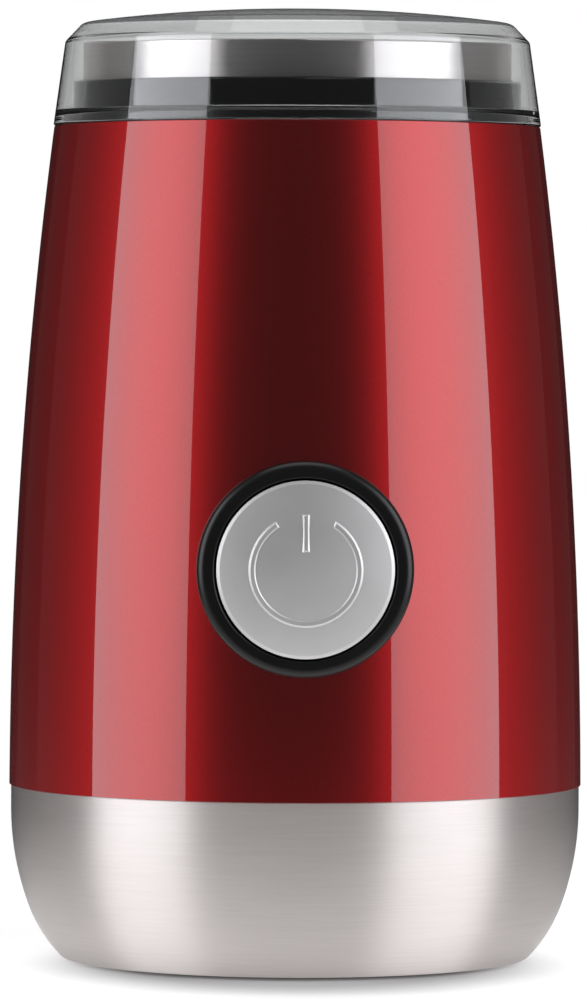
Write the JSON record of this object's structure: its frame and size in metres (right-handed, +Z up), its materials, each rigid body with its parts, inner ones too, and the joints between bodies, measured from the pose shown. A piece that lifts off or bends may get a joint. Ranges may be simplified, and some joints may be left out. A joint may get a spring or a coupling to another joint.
{
  "type": "electric coffee grinder",
  "caption": "Upright electric blade coffee grinder: tapered red shell, round steel base, clear lift-off lid, steel bowl with a spinning blade and a front push button.",
  "frame": {"origin": "middle of the footprint at table height, on the motor shaft", "axes": "+Z up the shaft; the button faces -Y; +X is to the right of someone facing the button"},
  "size_m": [0.098, 0.104, 0.1626],
  "materials": {
    "clear_lid": "clear polished",
    "bowl_steel": "satin brushed around",
    "base_steel": "brushed around",
    "button_steel": "satin",
    "blade_steel": "satin",
    "red_paint": "metallic red under a gloss clear coat",
    "black_gloss": "gloss",
    "black_moulding": "fine matt",
    "black_rubber": "matt",
    "screw_steel": "zinc plated",
    "spring_steel": "bright",
    "switch_moulding": "matt",
    "plunger_moulding": "satin",
    "rod_moulding": "natural nylon",
    "brass": "bright",
    "bronze": "sintered",
    "copper_wire": "enamelled copper",
    "lamination_steel": "stacked sheet",
    "cast_bracket": "die cast",
    "carbon": "graphite",
    "capacitor_case": "satin",
    "lead_sleeve": "satin"
  },
  "bodies": {
    "body": {"base_cup": "base_steel", "body_shell": "red_paint", "bottom_cover": "black_moulding", "bowl_cushion": "black_rubber", "bowl_gland": "black_moulding", "brush_holder_left": "switch_moulding", "brush_holder_right": "switch_moulding", "brush_spring_left": "spring_steel", "brush_spring_right": "spring_steel", "button_bezel": "black_gloss", "button_spring": "spring_steel", "carbon_brush_left": "carbon", "carbon_brush_right": "carbon", "chassis": "black_moulding", "cord_gland": "black_moulding", "cover_screws": "screw_steel", "field_coil_left": "copper_wire", "field_coil_right": "copper_wire", "foot_front": "black_rubber", "foot_left": "black_rubber", "foot_rear": "black_rubber", "foot_right": "black_rubber", "gland_nut": "black_moulding", "grinding_bowl": "bowl_steel", "interlock_spring": "spring_steel", "lid_switch_body": "switch_moulding", "lid_switch_terminals": "brass", "lower_bearing": "bronze", "lower_bracket": "cast_bracket", "motor_bolts": "screw_steel", "motor_mounts": "black_rubber", "mount_screws": "screw_steel", "shaft_seal": "black_rubber", "start_switch_body": "switch_moulding", "start_switch_terminals": "brass", "stator_core": "lamination_steel", "suppression_capacitor": "capacitor_case", "terminal_block": "rod_moulding", "top_collar": "black_gloss", "upper_bearing": "bronze", "upper_bracket": "cast_bracket", "wiring": "lead_sleeve"},
    "lid": {"lid": "clear_lid"},
    "button": {"button_cap": "black_moulding", "button_disc": "button_steel"},
    "rotor": {"motor_shaft": "screw_steel", "armature_core": "lamination_steel", "armature_winding": "copper_wire", "commutator": "copper_wire", "thrust_washers": "rod_moulding", "blade": "blade_steel", "blade_hub": "black_moulding", "blade_nut": "blade_steel"},
    "interlock_rod": {"interlock_rod": "rod_moulding"},
    "start_lever": {"start_switch_lever": "spring_steel"},
    "start_plunger": {"start_switch_plunger": "plunger_moulding"},
    "lid_lever": {"lid_switch_lever": "spring_steel"},
    "lid_plunger": {"lid_switch_plunger": "plunger_moulding"}
  },
  "joints": [
    {"name": "lid_lift", "type": "slide", "parent": "body", "child": "lid", "axis": [0, 0, 1], "range_m": [0, 0.1]},
    {"name": "button_press", "type": "slide", "parent": "body", "child": "button", "axis": [0, 1, 0], "range_m": [0, 0.003], "stiffness_N_per_m": 400, "springref_m": -0.004, "deforming": ["button_spring"]},
    {"name": "rotor_spin", "type": "hinge", "parent": "body", "child": "rotor", "pos_m": [0, 0, 0.067], "axis": [0, 0, 1], "continuous": true},
    {"name": "rod_rise", "type": "slide", "parent": "body", "child": "interlock_rod", "axis": [0, 0, 1], "range_m": [0, 0.003], "deforming": ["interlock_spring"]},
    {"name": "start_lever_turn", "type": "hinge", "parent": "body", "child": "start_lever", "pos_m": [-0.0078, -0.03372, 0.0685], "axis": [0, 0, 1], "range_deg": [0, 20.27]},
    {"name": "start_plunger_slide", "type": "slide", "parent": "body", "child": "start_plunger", "axis": [0, 1, 0], "range_m": [0, 0.00118]},
    {"name": "lid_lever_turn", "type": "hinge", "parent": "body", "child": "lid_lever", "pos_m": [0.03276, -0.0211, 0.0889], "axis": [0.9659, -0.2588, 0], "range_deg": [0, 12.2]},
    {"name": "lid_plunger_slide", "type": "slide", "parent": "body", "child": "lid_plunger", "axis": [0, 0, 1], "range_m": [0, 0.000707]}
  ],
  "couplings": [
    {"joint": "rod_rise", "follows": "lid_lift", "ratio": 0.03},
    {"joint": "lid_lever_turn", "follows": "lid_lift", "rad_per_m": 2.1293},
    {"joint": "lid_plunger_slide", "follows": "lid_lift", "ratio": 0.007069},
    {"joint": "start_lever_turn", "follows": "button_press", "rad_per_m": 117.94},
    {"joint": "start_plunger_slide", "follows": "button_press", "ratio": 0.39333}
  ]
}
